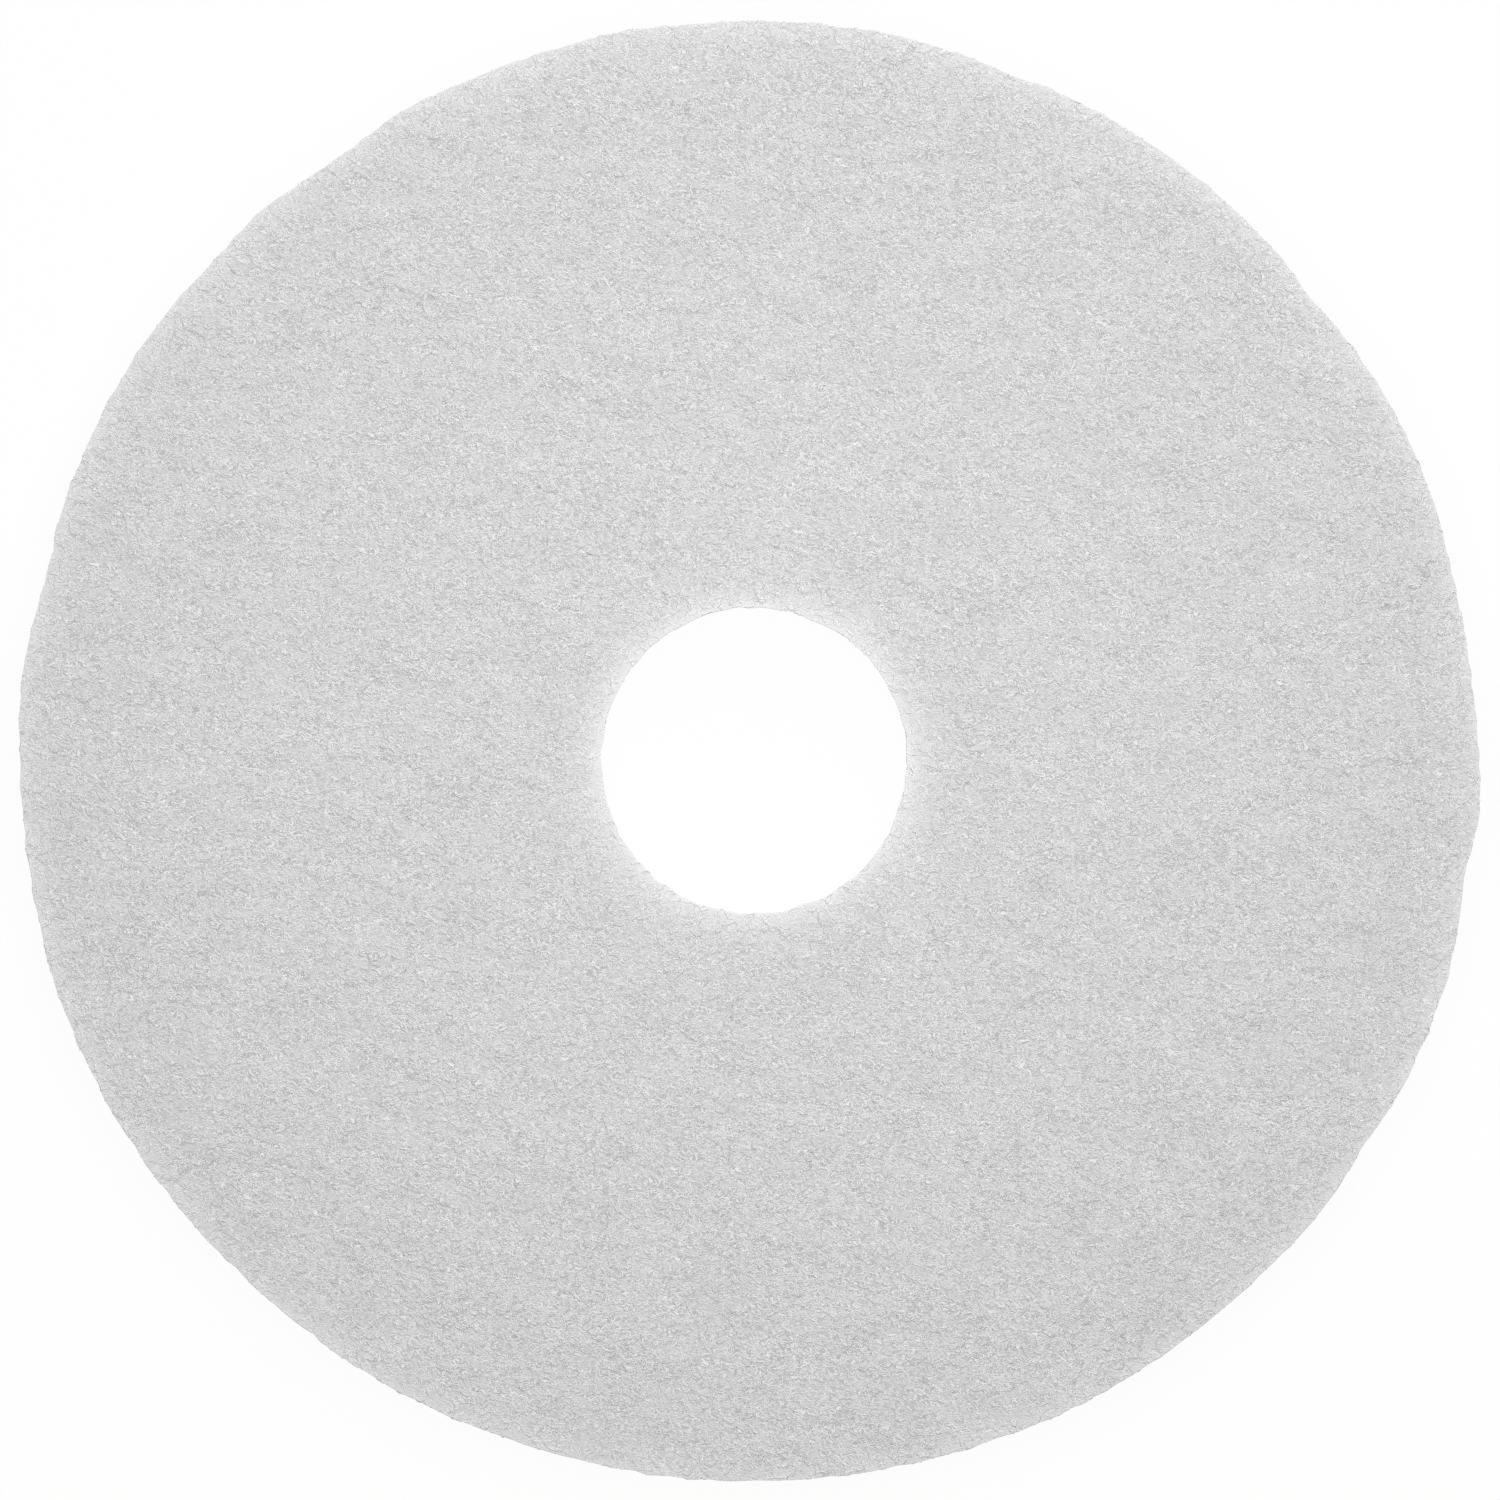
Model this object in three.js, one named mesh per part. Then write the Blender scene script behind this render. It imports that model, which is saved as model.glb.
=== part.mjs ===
// Floor polishing pad: one thick disc of white nonwoven fibre with a centre hole.
//
// Lengths are in millimetres and angles in degrees. +Z is up, and +Y points to the part of the rim that is at
// the top of the photograph. The origin is at the disc's centre, in the plane of its lower face. The pad lies
// on that face, and a floor machine's drive plate grips the upper one.

import * as THREE from "three";

// Driving dimensions

const discDiameter = 431.8;
const thickness = 25.4;
const holeDiameter = 88.9;

// The hole is cut a little off the disc's centre.
const holeOffsetX = 1.3;
const holeOffsetY = -2.3;

// The soft shoulder where a face turns into the rim or into the hole's wall.
const shoulderRadius = 3;

// Dents and bulges of the cut rim. Each has its place round the disc, counted from +X towards +Y, the height
// by which it stands out from the circle, negative for a dent, and the angle over which it fades out.
const rimMarks = [
  { at: 11, height: -1.5, fade: 5.5 },
  { at: 37, height: -1.1, fade: 4 },
  { at: 39.5, height: -1.3, fade: 1.5 },
  { at: 46, height: -0.6, fade: 2.5 },
  { at: 69, height: -0.9, fade: 1.5 },
  { at: 86, height: 0.9, fade: 8 },
  { at: 102, height: 0.9, fade: 2.5 },
  { at: 125, height: -1.7, fade: 3 },
  { at: 138, height: -0.6, fade: 1.5 },
  { at: 149, height: 0.5, fade: 5 },
  { at: 166, height: -1.2, fade: 2.5 },
  { at: 176, height: 0.8, fade: 2.5 },
  { at: 199, height: 0.8, fade: 4 },
  { at: 209, height: 0.5, fade: 5 },
  { at: 229, height: -0.4, fade: 6 },
  { at: 253, height: -0.6, fade: 7 },
  { at: 278, height: -0.3, fade: 8 },
  { at: 303, height: 0.5, fade: 7 },
  { at: 320, height: 0.9, fade: 3.5 },
  { at: 327.5, height: -0.6, fade: 1.5 },
  { at: 338, height: 1.35, fade: 7 },
  { at: 350, height: -1.6, fade: 2 },
  { at: 356, height: 0.9, fade: 2.5 },
];

// How finely the round forms are stepped

const rimSteps = 240;
const holeSteps = 72;
const shoulderSteps = 3;

// How far the rim stands out from its circle at an angle.
function rimStandOut(angle) {
  let standOut = 0;
  for (const mark of rimMarks) {
    const away = THREE.MathUtils.euclideanModulo(angle - mark.at + 180, 360) - 180;
    standOut += mark.height * Math.exp(-0.5 * (away / mark.fade) ** 2);
  }
  return standOut;
}

// The rim's outline, seen from above.
function rimOutline() {
  const points = [];
  for (let step = 0; step < rimSteps; step += 1) {
    const angle = (360 * step) / rimSteps;
    const radius = discDiameter / 2 + rimStandOut(angle);
    const turn = THREE.MathUtils.degToRad(angle);
    points.push(new THREE.Vector2(radius * Math.cos(turn), radius * Math.sin(turn)));
  }
  return new THREE.Shape(points);
}

// The hole's outline, seen from above.
function holeOutline() {
  const hole = new THREE.Path();
  hole.absarc(holeOffsetX, holeOffsetY, holeDiameter / 2, 0, 2 * Math.PI, true);
  return hole;
}

// The mat of fibres, cut through its whole thickness, with a shoulder at each of its four edges. The
// diameters of the disc and the hole are those half way up, between the shoulders.
function padGeometry() {
  const outline = rimOutline();
  outline.holes.push(holeOutline());
  const geometry = new THREE.ExtrudeGeometry(outline, {
    depth: thickness - 2 * shoulderRadius,
    bevelThickness: shoulderRadius,
    bevelSize: shoulderRadius,
    bevelOffset: -shoulderRadius,
    bevelSegments: shoulderSteps,
    curveSegments: holeSteps / 2,
  });
  geometry.translate(0, 0, shoulderRadius);
  return geometry;
}

const whiteFibre = new THREE.MeshStandardMaterial({ color: "#d4d4d4", roughness: 0.95, metalness: 0 });

const nonwovenPad = new THREE.Mesh(padGeometry(), whiteFibre);
nonwovenPad.name = "nonwoven_pad";

const polishingPad = new THREE.Group();
polishingPad.add(nonwovenPad);

export default polishingPad;
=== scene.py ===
"""A floor polishing pad: a thick disc of white nonwoven fibre with a centre hole, seen from above.

The pad's body takes its outline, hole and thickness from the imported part. A web of crimped fibres
lies over all of its skin, and short ends and loops of fibre stand out of the walls of the rim and the hole.
"""

import math

import bpy
import numpy as np
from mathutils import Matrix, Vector


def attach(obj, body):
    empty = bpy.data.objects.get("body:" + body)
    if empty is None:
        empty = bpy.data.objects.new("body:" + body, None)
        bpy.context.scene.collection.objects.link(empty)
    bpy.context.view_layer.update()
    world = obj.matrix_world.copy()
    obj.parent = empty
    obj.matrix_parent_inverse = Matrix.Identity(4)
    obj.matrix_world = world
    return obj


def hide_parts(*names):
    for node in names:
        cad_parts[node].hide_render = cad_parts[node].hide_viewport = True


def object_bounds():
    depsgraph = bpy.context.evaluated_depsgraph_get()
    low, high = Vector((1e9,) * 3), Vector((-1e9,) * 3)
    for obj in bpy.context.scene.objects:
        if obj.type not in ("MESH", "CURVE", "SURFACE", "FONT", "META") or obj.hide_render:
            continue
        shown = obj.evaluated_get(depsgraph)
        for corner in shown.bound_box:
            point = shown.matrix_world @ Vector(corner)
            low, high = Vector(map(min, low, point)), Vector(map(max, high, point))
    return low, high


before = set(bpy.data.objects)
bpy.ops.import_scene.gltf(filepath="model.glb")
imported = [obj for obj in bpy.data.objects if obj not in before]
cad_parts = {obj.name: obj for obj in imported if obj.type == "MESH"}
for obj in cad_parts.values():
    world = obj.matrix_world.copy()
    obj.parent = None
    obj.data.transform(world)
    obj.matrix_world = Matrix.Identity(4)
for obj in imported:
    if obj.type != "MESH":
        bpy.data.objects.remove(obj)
cad_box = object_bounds()

MM = 0.001
PAD_NODE = "nonwoven_pad"
WHITE = (1, 1, 1, 1)

# The photograph looks straight down on the pad, and these are its pixels.
PHOTO_SIDE = 1500
DISC_CENTRE_PIXEL = (749.45, 752.95)
DISC_RADIUS_PIXELS = 731.7

# Points of the solid are taken to lie on the hole's wall, or at one height, if they are no further off
# than this.
WALL_SLACK = 0.02 * MM
HEIGHT_SLACK = 0.1 * MM

# The skin lies this far inside the solid's faces and walls, which leaves room for the fibres on it.
FACE_INSET = 0.35 * MM
WALL_INSET = 0.6 * MM

# The skin's shoulder as a share of the solid's, because the cut edges are crisp
SHOULDER_SHARE = 0.13

# How far a fibre of one side may run on down a wall, past half height
FIBRE_OVERLAP = 2 * MM

# The skin's own unevenness: low swells and small pits of the faces, a fall of the upper face towards
# the rim, and nibbles out of the walls. The nibbles fade out over the faces, and the rest fades out
# down the walls. A pair of lengths is the longest and the shortest wave of its kind.
SKIN_SWELL = 0.10 * MM
SWELL_LENGTHS = (60 * MM, 20 * MM)
SKIN_PITS = 0.07 * MM
PIT_LENGTHS = (20 * MM, 9 * MM)
RIM_DROP = 1.4 * MM
RIM_DROP_FADE = 12 * MM
WALL_NIBBLE = 0.18 * MM
WALL_NIBBLE_FADE = 4 * MM
NIBBLE_LENGTHS = (14 * MM, 6 * MM)
CLOUD_WAVES = 60

# The walls draw in a little between their upper and lower edges, and the cut leaves the lower edges
# further in.
WALL_HOLLOW = 0.9 * MM
WALL_HOLLOW_RUN = 2.5 * MM
LOWER_DRAW = 0.45 * MM

# Painted light: a paler band along the cut edges, which stands in for light that comes through the thin
# fibre there and lightens the shade of the shoulders. How strong it is where a face ends, how fast it fades
# over that face, and how much of it is lost down a wall
RIM_PAINTED_LIGHT_SHARE = 0.42
RIM_PAINTED_LIGHT_FADE = 4 * MM
HOLE_PAINTED_LIGHT_SHARE = 0.67
HOLE_PAINTED_LIGHT_FADE = 5 * MM
WALL_PAINTED_LIGHT_LOSS = 0.95
WALL_PAINTED_LIGHT_RUN = 2.5 * MM


def smooth(share):
    """From 0 to 1 as the share does, with no kink at either end."""
    share = np.clip(share, 0, 1)
    return share * share * (3 - 2 * share)


def cloud(points, lengths, seed):
    """A smooth random field with a spread of 1: a sum of plane waves of lengths between two limits."""
    longest, shortest = lengths
    rng = np.random.default_rng(seed)
    directions = rng.normal(size=(CLOUD_WAVES, 3))
    directions /= np.linalg.norm(directions, axis=1)[:, None]
    wave_lengths = np.exp(rng.uniform(math.log(shortest), math.log(longest), CLOUD_WAVES))
    phases = rng.uniform(0, 2 * math.pi, CLOUD_WAVES)
    turns = points @ (directions * (2 * math.pi / wave_lengths)[:, None]).T + phases
    return np.cos(turns).sum(-1) * math.sqrt(2 / CLOUD_WAVES)


# The pad's shape

def node_points(name):
    """The corners of a CAD node, as rows of x, y and z."""
    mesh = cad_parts[name].data
    points = np.zeros(len(mesh.vertices) * 3)
    mesh.vertices.foreach_get("co", points)
    return points.reshape(-1, 3)


class PadShape:
    """The pad's outline, hole, thickness and shoulders, measured on the CAD node."""

    def __init__(self):
        points = node_points(PAD_NODE)
        self.thickness = cad_box[1].z - cad_box[0].z
        radius = np.hypot(points[:, 0], points[:, 1])
        inner = points[radius < radius.max() / 2]
        self.hole_centre = (inner.max(0) + inner.min(0))[:2] / 2
        hole_distance = np.hypot(inner[:, 0] - self.hole_centre[0], inner[:, 1] - self.hole_centre[1])
        self.hole_radius = hole_distance.min()
        solid_shoulder = inner[hole_distance < self.hole_radius + WALL_SLACK][:, 2].min()
        wall = points[(radius > radius.max() / 2) & (abs(points[:, 2] - solid_shoulder) < HEIGHT_SLACK)]
        angle = np.arctan2(wall[:, 1], wall[:, 0])
        order = np.argsort(angle)
        self.rim_angles = angle[order]
        self.rim_radii = np.hypot(wall[:, 0], wall[:, 1])[order]
        self.radius = self.rim_radii.mean()
        self.rim_radii -= WALL_INSET
        self.hole_radius += WALL_INSET
        self.half_height = self.thickness / 2 - FACE_INSET
        self.shoulder = SHOULDER_SHARE * solid_shoulder
        # How far the skin runs past a flat face: over the shoulder, then down the wall to half height
        self.shoulder_run = self.shoulder * math.pi / 2
        self.edge_run = self.shoulder_run + self.half_height - self.shoulder
        self.fibre_run = self.edge_run + FIBRE_OVERLAP

    def rim_radius(self, angle):
        """How far the rim's wall is from the disc's centre, at an angle."""
        return np.interp(angle, self.rim_angles, self.rim_radii, period=2 * math.pi)

    def past_rim(self, x, y):
        """How far a point of the unrolled skin lies beyond the flat face at the rim."""
        return np.hypot(x, y) - (self.rim_radius(np.arctan2(y, x)) - self.shoulder)

    def past_hole(self, x, y):
        """How far a point of the unrolled skin lies beyond the flat face at the hole."""
        distance = np.hypot(x - self.hole_centre[0], y - self.hole_centre[1])
        return self.hole_radius + self.shoulder - distance

    def fold(self, past):
        """Where the skin is past a flat face, outwards and down, and its normal's outward and upward parts."""
        turn = np.clip(past / self.shoulder, 0, math.pi / 2)
        outwards = np.where(past < 0, past, self.shoulder * np.sin(turn))
        down = self.shoulder * (1 - np.cos(turn)) + np.maximum(past - self.shoulder_run, 0)
        return outwards, down, np.sin(turn), np.cos(turn)

    def on_skin(self, x, y, lift, side):
        """Points and normals at a height above the skin of one side: 1 is the upper, -1 the lower.

        x and y are measured along the unrolled skin: over the face, then a shoulder, and down a wall.
        """
        at_hole = self.past_hole(x, y) > 0
        past = np.where(at_hole, self.past_hole(x, y), self.past_rim(x, y))
        outwards, down, normal_out, normal_up = self.fold(past)
        outwards = outwards + lift * normal_out
        height = self.half_height - down + lift * normal_up
        centre_x = np.where(at_hole, self.hole_centre[0], 0)
        centre_y = np.where(at_hole, self.hole_centre[1], 0)
        angle = np.arctan2(y - centre_y, x - centre_x)
        flat_edge = self.rim_radius(angle) - self.shoulder
        radius = np.where(at_hole, self.hole_radius + self.shoulder - outwards, flat_edge + outwards)
        sign = np.where(at_hole, -1, 1)
        points = np.stack([
            centre_x + radius * np.cos(angle),
            centre_y + radius * np.sin(angle),
            self.thickness / 2 + side * height,
        ], -1)
        normals = np.stack([
            sign * normal_out * np.cos(angle),
            sign * normal_out * np.sin(angle),
            normal_up * side,
        ], -1)
        return points, normals

    def painted_light(self, x, y):
        """How far the painted light of the cut edges covers a point: most at the edges, and less beside them.
        """
        rim = self.painted_light_past(self.past_rim(x, y), RIM_PAINTED_LIGHT_SHARE, RIM_PAINTED_LIGHT_FADE)
        hole = self.painted_light_past(self.past_hole(x, y), HOLE_PAINTED_LIGHT_SHARE, HOLE_PAINTED_LIGHT_FADE)
        return np.maximum(rim, hole)

    def painted_light_past(self, past, share, fade):
        """The painted light of one edge, by how far a point lies beyond the flat face."""
        on_face = np.exp(np.minimum(past, 0) / fade)
        on_shoulder = np.clip(past / self.shoulder_run, 0, 1)
        down_wall = 1 - WALL_PAINTED_LIGHT_LOSS * smooth((past - self.shoulder_run) / WALL_PAINTED_LIGHT_RUN)
        return (share * on_face + (1 - share) * on_shoulder) * down_wall


pad = PadShape()


def over_skin(x, y, lift, side, lowest=0.0):
    """Points and normals at a height above the uneven skin, and no lower than a height above the floor."""
    points, normals = pad.on_skin(x, y, lift, side)
    flat = points.reshape(-1, 3)
    past_rim = pad.past_rim(x, y)
    past = np.maximum(past_rim, pad.past_hole(x, y))
    fading_down = np.clip(1 - past / pad.edge_run, 0, 1)
    swell = SKIN_SWELL * cloud(flat, SWELL_LENGTHS, seed=11).reshape(x.shape)
    pits = SKIN_PITS * cloud(flat, PIT_LENGTHS, seed=12).reshape(x.shape)
    drop = RIM_DROP * np.exp(np.minimum(past_rim, 0) / RIM_DROP_FADE) * (side > 0)
    rise = (swell + pits - drop) * fading_down
    points[..., 2] = np.maximum(points[..., 2] + side * rise, lowest)
    # What follows moves the points level, out of the pad at the rim and into the hole at the hole.
    nibble = WALL_NIBBLE * cloud(flat, NIBBLE_LENGTHS, seed=13).reshape(x.shape)
    draw = LOWER_DRAW * fading_down * (side < 0)
    edge = (nibble - draw) * np.exp(np.minimum(past, 0) / WALL_NIBBLE_FADE)
    hollow = WALL_HOLLOW * smooth(past / WALL_HOLLOW_RUN)
    near_hole = past_rim < -pad.radius / 2
    radial = (points - near_hole[..., None] * np.append(pad.hole_centre, 0)) * (1, 1, 0)
    shift = (edge - hollow) * np.where(near_hole, -1, 1) / np.linalg.norm(radial, axis=-1)
    return points + radial * shift[..., None], normals


# Pieces and their maps

BAKE_MAP = "OFBake"

# A disc's width on the map, as a share of the map's side. The two sides of the body lie on its map as
# two discs on the diagonal, a margin inside the map's edges. A piece on one side only has its map to
# itself.
HALF_MAP_DISC = 0.57
HALF_MAP_MARGIN = 0.01
WHOLE_MAP_DISC = 0.98
WHOLE_MAP_CENTRE = 0.5


def add_mesh(name, points, faces, fields, material):
    """A mesh piece that rides on the body, with named numbers at its points for its material to read."""
    mesh = bpy.data.meshes.new(name)
    mesh.from_pydata(points.tolist(), [], faces)
    for field, values in fields.items():
        mesh.attributes.new(field, "FLOAT", "POINT").data.foreach_set("value", values.astype(np.float32))
    mesh.shade_smooth()
    mesh.materials.append(material)
    piece = bpy.data.objects.new(name, mesh)
    bpy.context.scene.collection.objects.link(piece)
    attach(piece, "root")
    return piece


def add_bake_map(piece, x, y, centre, width):
    """A UV map for baked textures: the skin unrolled into a flat disc.

    x and y are the unrolled places of the mesh's points. centre is the disc's middle on the map, one for
    the whole mesh or one for each corner of a face, and width is the disc's share of the map's side.
    """
    mesh = piece.data
    corners = np.zeros(len(mesh.loops), np.int32)
    mesh.loops.foreach_get("vertex_index", corners)
    places = np.stack([x.ravel(), y.ravel()], -1)[corners]
    uv = centre + places * width / (2 * (pad.rim_radii.max() + pad.fibre_run))
    mesh.uv_layers.new(name=BAKE_MAP).data.foreach_set("uv", uv.astype(np.float32).ravel())


# The pad's body

# How finely it is stepped round the pad, across a face and over a shoulder
BODY_ANGLES = 400
FACE_ROWS = 36
SHOULDER_ROWS = 4

# More rows close to the edges: on the face, by how far they are from its end, and on the wall, by how
# far past it
EDGE_ROWS = (0, 0.15 * MM, 0.6 * MM, 2 * MM)
WALL_ROWS = (6 * MM, 2.4 * MM, 1.4 * MM)


def body_rows():
    """One side's unrolled skin as rows round the pad, from half way up the hole to half way up the rim."""
    angle = np.arange(BODY_ANGLES) * 2 * math.pi / BODY_ANGLES
    circle = np.stack([np.cos(angle), np.sin(angle)], -1)
    shoulder_rows = np.linspace(pad.shoulder_run, 0, SHOULDER_ROWS + 1)[:-1]
    past = np.concatenate([[pad.edge_run], WALL_ROWS, shoulder_rows])
    hole_edge = pad.hole_centre + (pad.hole_radius + pad.shoulder) * circle
    rim_edge = (pad.rim_radius(angle) - pad.shoulder)[:, None] * circle
    rows = [hole_edge - p * circle for p in past]
    rows += [hole_edge + p * circle for p in EDGE_ROWS]
    rows += [hole_edge + (rim_edge - hole_edge) * t for t in np.linspace(0, 1, FACE_ROWS + 1)[1:-1]]
    rows += [rim_edge - p * circle for p in EDGE_ROWS[::-1]]
    rows += [rim_edge + p * circle for p in past[::-1]]
    return np.array(rows)


def ring_quads(rows):
    """The faces of a closed tube of rows round the pad, as corner numbers."""
    here = np.arange(rows)[:, None] * BODY_ANGLES
    following = np.roll(here, -1, 0)
    column = np.arange(BODY_ANGLES)[None, :]
    turned = np.roll(column, -1, 1)
    quads = np.stack([here + column, following + column, following + turned, here + turned], -1)
    return quads.reshape(-1, 4).tolist()


def add_body(material):
    """The pad's skin, closed all round."""
    rows = body_rows()
    x = rows[..., 0]
    y = rows[..., 1]
    no_lift = np.zeros(x.shape)
    upper, _ = over_skin(x, y, no_lift, 1)
    lower, _ = over_skin(x, y, no_lift, -1)
    # The sides share the rows half way up the rim and the hole, so the lower one gives only those between.
    ring = np.concatenate([upper, lower[-2:0:-1]])
    unrolled = np.concatenate([rows, rows[-2:0:-1]])
    x = unrolled[..., 0]
    y = unrolled[..., 1]
    # Painted light: how far the paler band of the cut edges covers each point, for the material to read.
    fields = {"painted_light": pad.painted_light(x, y).ravel()}
    piece = add_mesh("pad_body", ring.reshape(-1, 3), ring_quads(len(ring)), fields, material)
    low_side = np.arange(len(ring)) >= len(rows) - 1
    near_corner = HALF_MAP_DISC / 2 + HALF_MAP_MARGIN
    centre = np.repeat(np.where(low_side, 1 - near_corner, near_corner), BODY_ANGLES * 4)
    add_bake_map(piece, x, y, centre[:, None], HALF_MAP_DISC)
    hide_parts(PAD_NODE)


# The crimped fibres

FIBRE_RADIUS = 0.12 * MM
FIBRE_TIP = 0.45
TUBE_SIDES = 3
FIBRE_TONE = 0.89
FIBRE_TONE_SPREAD = 0.05

# Most fibres lie about one direction, and the rest in any.
LEAN = math.radians(-13)
LEAN_SPREAD = math.radians(25)
LEAN_SHARE = 0.7

# The crimp: how long its waves are, how many radians they swing to each side, and how far each step
# strays besides
CRIMP_LENGTHS = (6 * MM, 11 * MM)
CRIMP_SWINGS = (0.5, 1.4)
STRAY = 0.15

# Long fibres weave in and out of the skin: how far, over what length, and about what height.
WEB_POINTS = 26
WEB_STEP = 1.6 * MM
WEAVE_HEIGHTS = (0.05 * MM, 0.2 * MM)
WEAVE_LENGTHS = (5 * MM, 12 * MM)
WEB_LEVELS = (-0.05 * MM, 0.15 * MM)

# Short ones stand out of the walls, as loops or as loose ends. Their roots are under the skin. A few
# are a good deal higher than the rest, and those at the hole are lower.
FUZZ_POINTS = 6
FUZZ_STEP = 0.7 * MM
FUZZ_ROOT = 0.1 * MM
LOWEST_FUZZ = 0.1 * MM
FUZZ_RISE = 0.16 * MM
HIGHEST_FUZZ = 0.8 * MM
FUZZ_AT_HOLE = 0.4
LOOP_SHARE = 0.6

# Starts are picked at random over a square, so more are tried than are needed.
TRIES_PER_FIBRE = 4


def fibre_starts(rng, count, shallowest, deepest):
    """Places spread evenly over one side's unrolled skin, between two distances past its edges."""
    reach = pad.rim_radii.max() + deepest
    found = np.zeros((0, 2))
    while len(found) < count:
        tries = rng.uniform(-reach, reach, (TRIES_PER_FIBRE * count, 2))
        past = np.maximum(pad.past_rim(*tries.T), pad.past_hole(*tries.T))
        inside = (past > shallowest) & (past < deepest)
        found = np.concatenate([found, tries[inside]])
    return found[:count]


def fibre_lines(rng, starts, points, step):
    """Crimped lines on the unrolled skin: most waver about the lean, and the rest about any direction."""
    count = len(starts)
    along = np.arange(points) * step
    heading = rng.uniform(0, 2 * math.pi, count)
    leaning = rng.random(count) < LEAN_SHARE
    heading[leaning] = (LEAN + rng.normal(0, LEAN_SPREAD, count))[leaning]
    wave = rng.uniform(*CRIMP_LENGTHS, (count, 1))
    swing = rng.uniform(*CRIMP_SWINGS, (count, 1))
    phase = rng.uniform(0, 2 * math.pi, (count, 1))
    drift = np.cumsum(rng.normal(0, STRAY, (count, points)), 1)
    heading = heading[:, None] + swing * np.sin(2 * math.pi * along / wave + phase) + drift
    x = np.cumsum(np.cos(heading), 1) * step
    y = np.cumsum(np.sin(heading), 1) * step
    x += starts[:, :1] - x.mean(1)[:, None]
    y += starts[:, 1:] - y.mean(1)[:, None]
    return turned_back(x, y)


def turned_back(x, y):
    """The same lines, folded back where they would run too far down the rim's or the hole's wall."""
    too_far = np.maximum(pad.past_rim(x, y) - pad.fibre_run, 0)
    scale = 1 - 2 * too_far / np.hypot(x, y)
    x, y = x * scale, y * scale
    too_far = np.maximum(pad.past_hole(x, y) - pad.fibre_run, 0)
    x, y = x - pad.hole_centre[0], y - pad.hole_centre[1]
    scale = 1 + 2 * too_far / np.hypot(x, y)
    return pad.hole_centre[0] + x * scale, pad.hole_centre[1] + y * scale


def add_web(name, seed, count, side, material):
    """Long fibres that weave in and out of the skin of one side."""
    rng = np.random.default_rng(seed)
    starts = fibre_starts(rng, count, -math.inf, pad.edge_run)
    x, y = fibre_lines(rng, starts, WEB_POINTS, WEB_STEP)
    along = np.arange(WEB_POINTS) * WEB_STEP
    weave = rng.uniform(*WEAVE_HEIGHTS, (count, 1))
    weave_length = rng.uniform(*WEAVE_LENGTHS, (count, 1))
    level = rng.uniform(*WEB_LEVELS, (count, 1))
    turn = rng.uniform(0, 2 * math.pi, (count, 1))
    lift = level + weave * np.sin(2 * math.pi * along / weave_length + turn)
    add_tubes(name, rng, x, y, lift, side, material)


def add_wall_fuzz(name, seed, count, side, material):
    """Short loops and loose ends that stand out of the cut walls."""
    rng = np.random.default_rng(seed)
    starts = fibre_starts(rng, count, pad.shoulder_run / 2, pad.edge_run)
    x, y = fibre_lines(rng, starts, FUZZ_POINTS, FUZZ_STEP)
    along = np.linspace(0, 1, FUZZ_POINTS)
    height = np.minimum(LOWEST_FUZZ + rng.exponential(FUZZ_RISE, (count, 1)), HIGHEST_FUZZ)
    height[pad.past_hole(starts[:, 0], starts[:, 1]) > 0] *= FUZZ_AT_HOLE
    loop = np.sin(math.pi * along)
    loose_end = along ** 2
    is_loop = rng.random((count, 1)) < LOOP_SHARE
    lift = height * np.where(is_loop, loop, loose_end) - FUZZ_ROOT
    add_tubes(name, rng, x, y, lift, side, material)


def at_corners(values):
    """A value for each corner of the tubes, from one for each point of their lines."""
    return np.repeat(values[..., None], TUBE_SIDES, -1)


def add_tubes(name, rng, x, y, lift, side, material):
    """Closed tubes along lines on the skin, thinner at their ends."""
    points, normals = over_skin(x, y, lift, side, FIBRE_RADIUS)
    count, steps = x.shape
    tangent = np.gradient(points, axis=1)
    tangent /= np.linalg.norm(tangent, axis=-1)[..., None]
    across = np.cross(tangent, normals)
    across /= np.linalg.norm(across, axis=-1)[..., None]
    up = np.cross(across, tangent)
    radius = np.full(steps, FIBRE_RADIUS)
    radius[[0, -1]] *= FIBRE_TIP
    corners = []
    for corner in range(TUBE_SIDES):
        angle = math.pi / 2 + corner * 2 * math.pi / TUBE_SIDES
        offset = across * math.cos(angle) + up * math.sin(angle)
        corners.append(points + offset * radius[None, :, None])
    vertices = np.stack(corners, 2)
    index = np.arange(count * steps * TUBE_SIDES).reshape(count, steps, TUBE_SIDES)
    beside = np.roll(index, -1, 2)
    quads = np.stack([index[:, :-1], index[:, 1:], beside[:, 1:], beside[:, :-1]], -1).reshape(-1, 4)
    caps = np.concatenate([index[:, 0], index[:, -1, ::-1]])
    tone = FIBRE_TONE + rng.normal(0, FIBRE_TONE_SPREAD, (count, 1))
    # Painted light: how far the paler band of the cut edges covers each point, for the material to read.
    fields = {
        "tone": at_corners(np.broadcast_to(tone, x.shape)).ravel(),
        "painted_light": at_corners(pad.painted_light(x, y)).ravel(),
    }
    piece = add_mesh(name, vertices.reshape(-1, 3), quads.tolist() + caps.tolist(), fields, material)
    add_bake_map(piece, at_corners(x), at_corners(y), WHOLE_MAP_CENTRE, WHOLE_MAP_DISC)


# Materials

# The strokes of fibre painted on the body, in layers. Each has its direction and the distance between
# its strokes, which wander by the warp and come and go along their length. They are tilted, so that
# they show on the walls too.
STROKE_LAYERS = (
    (math.radians(-15), 0.55 * MM),
    (math.radians(8), 0.60 * MM),
    (math.radians(-48), 0.64 * MM),
)
STROKE_TILT = math.radians(40)
STROKE_WARP = 1.05 * MM
STROKE_WARP_SIZE = 2.3 * MM
STROKE_PIECE_SIZE = 0.48 * MM
STROKE_PIECE_STRETCH = (3.5, 1, 1)
STROKE_PIECE_EDGE = (0.46, 0.56)

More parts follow.
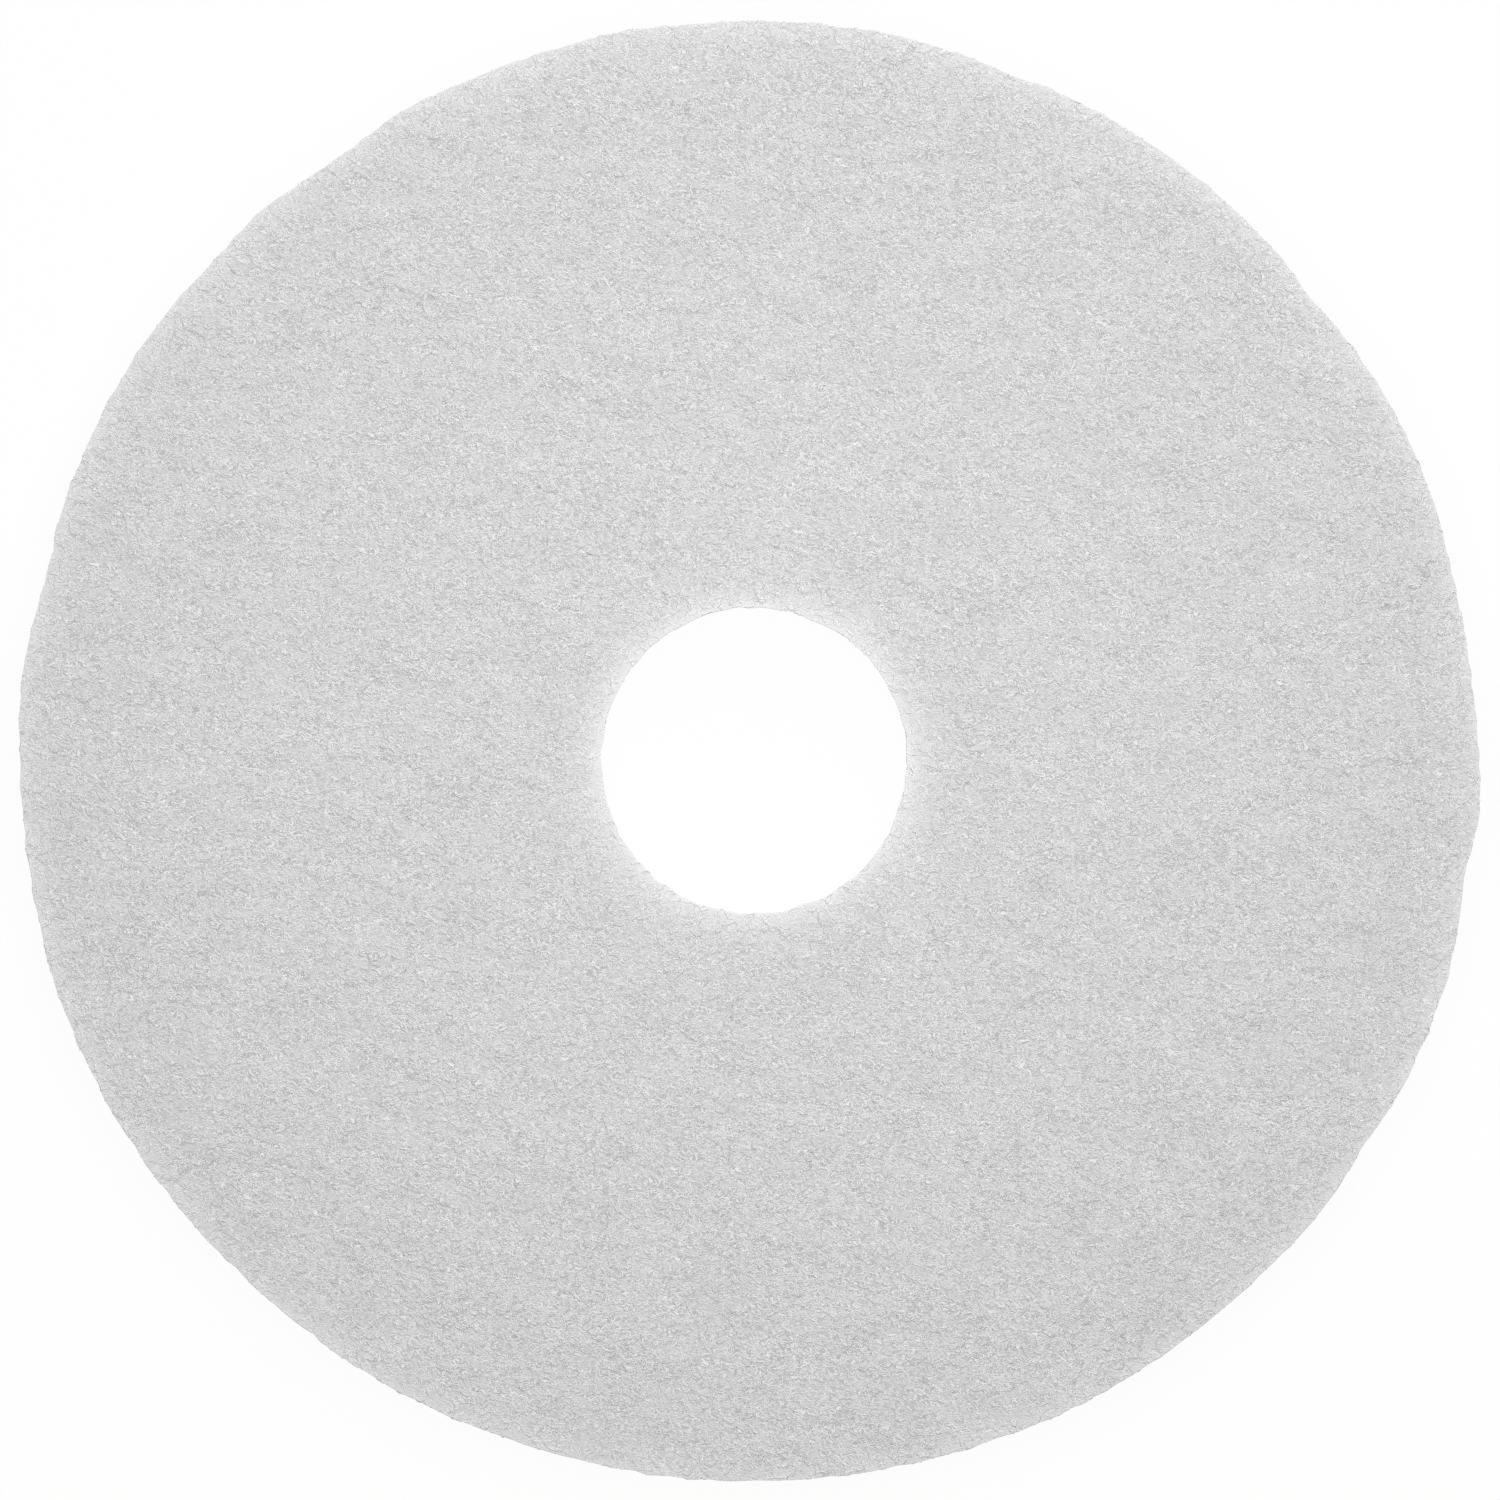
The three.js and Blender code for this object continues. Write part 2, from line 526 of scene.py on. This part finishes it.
# The unevenness along a fibre
FIBRE_WEAR_SIZE = 0.5 * MM
FIBRE_WEAR_DEPTH = 0.05 * MM

# The grain of the finest fibres between the strokes
GRAIN_SIZE = 0.35 * MM
GRAIN_STRETCH = (3, 1, 1)
GRAIN_DEPTH = 0.12 * MM

# Patches in which the strokes are fainter, and the long streaks where the mat is thinner or thicker
PATCH_SIZE = 3 * MM
PATCH_STRETCH = (2.5, 1, 1)
PATCH_EDGE = (0.35, 0.6)
FAINTEST = 0.7
STREAK_SIZE = 6.5 * MM
STREAK_STRETCH = (2.2, 1, 1)
STREAK_TONE = 0.014

# Most of a noise's values lie between these.
NOISE_RANGE = (0.3, 0.7)

# How far noises that are drawn out alike are shifted apart: each stroke layer by a multiple of its
# spacing
STREAK_SHIFT = 0.3
LAYER_SHIFT = 100

GAP_TONE = 0.53
STROKE_TONE = 0.855
PAINTED_LIGHT_TONE = 0.95

# From the least worn part of a fibre to the most, and from the gaps between strokes to the strokes
FIBRE_ROUGHNESS = (0.5, 0.8)
MAT_ROUGHNESS = (0.95, 0.7)

# At a scale of 1, the bands of Blender's wave texture are this far apart.
WAVE_REPEAT = math.pi / 10


class Nodes:
    """Adds nodes to a node tree and links them."""

    def __init__(self, tree):
        self.tree = tree

    def add(self, kind, **settings):
        node = self.tree.nodes.new("ShaderNode" + kind)
        for name, value in settings.items():
            setattr(node, name, value)
        return node

    def link(self, output, socket):
        self.tree.links.new(output, socket)

    def feed(self, value, socket):
        """Sets a socket to a number, or links an output to it."""
        if isinstance(value, bpy.types.NodeSocket):
            self.link(value, socket)
        else:
            socket.default_value = value

    def feed_all(self, values, sockets):
        for value, socket in zip(values, sockets):
            self.feed(value, socket)

    def math(self, operation, *values):
        node = self.add("Math", operation=operation)
        self.feed_all(values, node.inputs)
        return node.outputs["Value"]

    def vector(self, operation, *values):
        node = self.add("VectorMath", operation=operation)
        self.feed_all(values, node.inputs)
        return node.outputs["Vector"]

    def noise(self, coordinates, size, detail=0.0, output="Fac"):
        node = self.add("TexNoise")
        self.link(coordinates, node.inputs["Vector"])
        node.inputs["Scale"].default_value = 1 / size
        node.inputs["Detail"].default_value = detail
        return node.outputs[output]

    def ramp(self, value, given, wanted):
        """A value that runs smoothly through a wanted range while another runs through a given one."""
        node = self.add("MapRange", interpolation_type="SMOOTHSTEP")
        names = ("Value", "From Min", "From Max", "To Min", "To Max")
        self.feed_all((value, *given, *wanted), [node.inputs[name] for name in names])
        return node.outputs["Result"]

    def relief(self, height, depth):
        node = self.add("Bump")
        node.inputs["Distance"].default_value = depth
        self.link(height, node.inputs["Height"])
        return node.outputs["Normal"]

    def grey(self, value):
        node = self.add("CombineColor")
        for socket in node.inputs:
            self.link(value, socket)
        return node.outputs["Color"]

    def mixed(self, share, first, second):
        """Two shaders mixed, with the given share of the second."""
        node = self.add("MixShader")
        self.feed_all((share, first, second), node.inputs)
        return node.outputs["Shader"]


def new_material(name):
    """A material, its nodes and its shader."""
    material = bpy.data.materials.new(name)
    material.use_nodes = True
    tree = material.node_tree
    return material, Nodes(tree), tree.nodes["Principled BSDF"]


def drawn_out(nodes, place, direction, stretch, shift=0, tilt=0):
    """Coordinates that draw a texture out along a direction in the pad's plane, and tilt it about that."""
    mapping = nodes.add("Mapping", vector_type="TEXTURE")
    nodes.link(place, mapping.inputs["Vector"])
    mapping.inputs["Rotation"].default_value = (tilt, 0, direction)
    mapping.inputs["Scale"].default_value = stretch
    mapping.inputs["Location"].default_value = (shift, 0, 0)
    return mapping.outputs["Vector"]


def stroke_mask(nodes, place, layer):
    """1 along the middle of the layer's strokes and 0 between them."""
    direction, spacing = layer
    bands = nodes.add("TexWave", wave_type="BANDS", bands_direction="Y", wave_profile="SIN")
    nodes.link(drawn_out(nodes, place, direction, (1, 1, 1), tilt=STROKE_TILT), bands.inputs["Vector"])
    bands.inputs["Scale"].default_value = WAVE_REPEAT / (spacing * math.cos(STROKE_TILT))
    line = nodes.ramp(bands.outputs["Fac"], (0.5, 1), (0, 1))
    along = drawn_out(nodes, place, direction, STROKE_PIECE_STRETCH, shift=spacing * LAYER_SHIFT)
    pieces = nodes.noise(along, STROKE_PIECE_SIZE)
    return nodes.math("MULTIPLY", line, nodes.ramp(pieces, STROKE_PIECE_EDGE, (0, 1)))


def warped_place(nodes, place):
    """Coordinates in which straight strokes wander."""
    colour = nodes.noise(place, STROKE_WARP_SIZE, output="Color")
    centred = nodes.vector("SUBTRACT", colour, (0.5, 0.5, 0.5))
    return nodes.vector("ADD", place, nodes.vector("MULTIPLY", centred, (2 * STROKE_WARP,) * 3))


def with_painted_light(nodes, tone):
    """A tone that turns into the pale one of the painted light at the cut edges where the mesh says so."""
    painted_light = nodes.add("Attribute", attribute_name="painted_light").outputs["Fac"]
    rest = nodes.math("SUBTRACT", PAINTED_LIGHT_TONE, tone)
    return nodes.math("ADD", tone, nodes.math("MULTIPLY", rest, painted_light))


def fibre_material():
    """The fibres in mesh: each of its own tone, with painted light near the cut edges and worn stretches."""
    material, nodes, shader = new_material("crimped_fibre")
    place = nodes.add("TexCoord").outputs["Object"]
    tone = nodes.add("Attribute", attribute_name="tone").outputs["Fac"]
    # Painted light: the tone turns paler near the cut edges.
    nodes.link(nodes.grey(with_painted_light(nodes, tone)), shader.inputs["Base Color"])
    wear = nodes.noise(place, FIBRE_WEAR_SIZE)
    nodes.link(nodes.ramp(wear, NOISE_RANGE, FIBRE_ROUGHNESS), shader.inputs["Roughness"])
    nodes.link(nodes.relief(wear, FIBRE_WEAR_DEPTH), shader.inputs["Normal"])
    return material


def body_material():
    """The mat under them: painted strokes, fainter in patches, with streaks, a fine grain and painted light
    near the cut edges.
    """
    material, nodes, shader = new_material("fibre_mat")
    place = nodes.add("TexCoord").outputs["Object"]
    warped = warped_place(nodes, place)
    masks = [stroke_mask(nodes, warped, layer) for layer in STROKE_LAYERS]
    cover = nodes.math("MAXIMUM", nodes.math("MAXIMUM", masks[0], masks[1]), masks[2])
    patches = nodes.noise(drawn_out(nodes, place, LEAN, PATCH_STRETCH), PATCH_SIZE)
    clearness = nodes.ramp(patches, PATCH_EDGE, (FAINTEST, 1))
    middle = (GAP_TONE + STROKE_TONE) / 2
    from_middle = nodes.ramp(cover, (0, 1), (GAP_TONE - middle, STROKE_TONE - middle))
    long_place = drawn_out(nodes, place, LEAN, STREAK_STRETCH, shift=STREAK_SHIFT)
    streaks = nodes.noise(long_place, STREAK_SIZE, detail=1)
    shade = nodes.ramp(streaks, NOISE_RANGE, (middle - STREAK_TONE, middle + STREAK_TONE))
    tone = nodes.math("ADD", nodes.math("MULTIPLY", from_middle, clearness), shade)
    # Painted light: the tone turns paler near the cut edges.
    nodes.link(nodes.grey(with_painted_light(nodes, tone)), shader.inputs["Base Color"])
    nodes.link(nodes.ramp(masks[0], (0, 1), MAT_ROUGHNESS), shader.inputs["Roughness"])
    grain = nodes.noise(drawn_out(nodes, place, LEAN, GRAIN_STRETCH), GRAIN_SIZE)
    nodes.link(nodes.relief(grain, GRAIN_DEPTH), shader.inputs["Normal"])
    return material


# Stage

FLOOR_SIDE = 30
FLOOR_COLOUR = (0.95, 0.95, 0.95, 1)

# The photograph's floor is white, so the camera sees this share of plain white and the rest of the lit
# floor.
FLOOR_WHITE_SHARE = 0.96

WORLD_LIGHT = 0.32

# Lamps: the name, the azimuth and elevation in degrees, the distance, the side and the power
LAMPS = (
    ("key", 78, 42, 1.8, 1.4, 14.3),
    ("top", 0, 90, 0.8, 0.4, 2.8),
)

# The camera's lens and sensor in millimetres. With so long a lens it is so far up that the rim and the
# hole don't show their walls.
LENS = 1200
SENSOR = 36


def add_floor():
    material = bpy.data.materials.new("white_floor")
    material.use_nodes = True
    material.node_tree.nodes.clear()
    nodes = Nodes(material.node_tree)
    diffuse = nodes.add("BsdfDiffuse")
    diffuse.inputs["Color"].default_value = FLOOR_COLOUR
    lit = diffuse.outputs["BSDF"]
    seen = nodes.mixed(FLOOR_WHITE_SHARE, lit, nodes.add("Emission").outputs["Emission"])
    camera_ray = nodes.add("LightPath").outputs["Is Camera Ray"]
    surface = nodes.mixed(camera_ray, lit, seen)
    nodes.link(surface, nodes.add("OutputMaterial").inputs["Surface"])
    bpy.ops.mesh.primitive_plane_add(size=FLOOR_SIDE)
    floor = bpy.context.object
    floor.name = "floor"
    floor.data.materials.append(material)


def add_world():
    """An even white light from all round, which the camera sees as plain white."""
    world = bpy.data.worlds.new("studio")
    bpy.context.scene.world = world
    world.use_nodes = True
    nodes = Nodes(world.node_tree)
    light = nodes.tree.nodes["Background"]
    seen = nodes.add("Background")
    for background, strength in ((light, WORLD_LIGHT), (seen, 1)):
        background.inputs["Color"].default_value = WHITE
        background.inputs["Strength"].default_value = strength
    camera_ray = nodes.add("LightPath").outputs["Is Camera Ray"]
    surface = nodes.mixed(camera_ray, light.outputs["Background"], seen.outputs["Background"])
    nodes.link(surface, nodes.tree.nodes["World Output"].inputs["Surface"])


def add_lamp(name, azimuth, elevation, distance, size, power):
    """A soft square lamp that faces the pad."""
    lamp = bpy.data.lights.new(name, "AREA")
    lamp.shape = "SQUARE"
    lamp.size = size
    lamp.energy = power
    holder = bpy.data.objects.new(name, lamp)
    turn = math.radians(azimuth)
    rise = math.radians(elevation)
    towards = Vector((math.cos(turn) * math.cos(rise), math.sin(turn) * math.cos(rise), math.sin(rise)))
    holder.location = towards * distance
    holder.rotation_mode = "QUATERNION"
    holder.rotation_quaternion = towards.to_track_quat("Z", "Y")
    holder.visible_camera = False
    bpy.context.scene.collection.objects.link(holder)


def add_camera():
    """A camera straight above the pad, which then lies in the frame as it does in the photograph."""
    seen_width = PHOTO_SIDE * pad.radius / DISC_RADIUS_PIXELS
    pixel = seen_width / PHOTO_SIDE
    data = bpy.data.cameras.new("camera")
    data.lens = LENS
    data.sensor_width = SENSOR
    camera = bpy.data.objects.new("camera", data)
    camera.location = (
        (PHOTO_SIDE / 2 - DISC_CENTRE_PIXEL[0]) * pixel,
        (DISC_CENTRE_PIXEL[1] - PHOTO_SIDE / 2) * pixel,
        pad.thickness + seen_width * LENS / SENSOR,
    )
    bpy.context.scene.collection.objects.link(camera)
    bpy.context.scene.camera = camera


add_camera()
add_floor()
add_world()
for lamp in LAMPS:
    add_lamp(*lamp)

add_body(body_material())

# The fibres: the name, the seed, how many there are, and the side they lie on
fibre = fibre_material()
for name, seed, count, side in (
    ("upper_web_a", 21, 1300, 1),
    ("upper_web_b", 22, 1300, 1),
    ("upper_web_c", 23, 1300, 1),
    ("upper_web_d", 24, 750, 1),
    ("lower_web", 25, 850, -1),
):
    add_web(name, seed, count, side, fibre)
for name, seed, count, side in (
    ("upper_rim_fuzz", 26, 1000, 1),
    ("lower_rim_fuzz", 27, 1000, -1),
):
    add_wall_fuzz(name, seed, count, side, fibre)

bpy.context.scene.view_settings.view_transform = "Standard"
